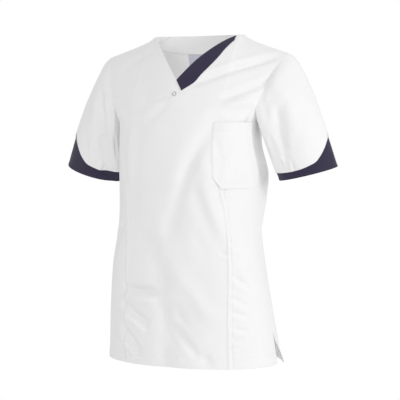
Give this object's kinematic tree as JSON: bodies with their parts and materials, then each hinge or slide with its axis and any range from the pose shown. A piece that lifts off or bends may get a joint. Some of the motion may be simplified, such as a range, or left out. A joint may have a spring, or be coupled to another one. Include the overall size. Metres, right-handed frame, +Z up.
{
  "type": "medical tunic",
  "caption": "Women's short-sleeved hip-length medical tunic, V neck with dark trim, press stud, patch chest pocket, princess seams and side slits, in its worn hollow form.",
  "frame": {"origin": "on the middle line between the shoulders, level with the neck ends of the shoulder seams, where the wearer carries the tunic", "axes": "+Z up, -Y towards the front, +X towards the wearer's left"},
  "size_m": [0.6622, 0.2757, 0.7313],
  "materials": {
    "white_cloth": "matt plain-woven polyester and cotton",
    "navy_cloth": "matt plain-woven polyester and cotton",
    "label_cloth": "satin woven ribbon",
    "stud_metal": "satin"
  },
  "bodies": {
    "root": {"front_centre": "white_cloth", "side_front_left": "white_cloth", "side_front_right": "white_cloth", "back": "white_cloth", "sleeve_left": "white_cloth", "sleeve_right": "white_cloth", "sleeve_band_left": "navy_cloth", "sleeve_band_right": "navy_cloth", "neck_band": "navy_cloth", "back_neck_facing": "white_cloth", "label": "label_cloth", "chest_pocket": "white_cloth", "snap_cap": "stud_metal"}
  },
  "joints": []
}
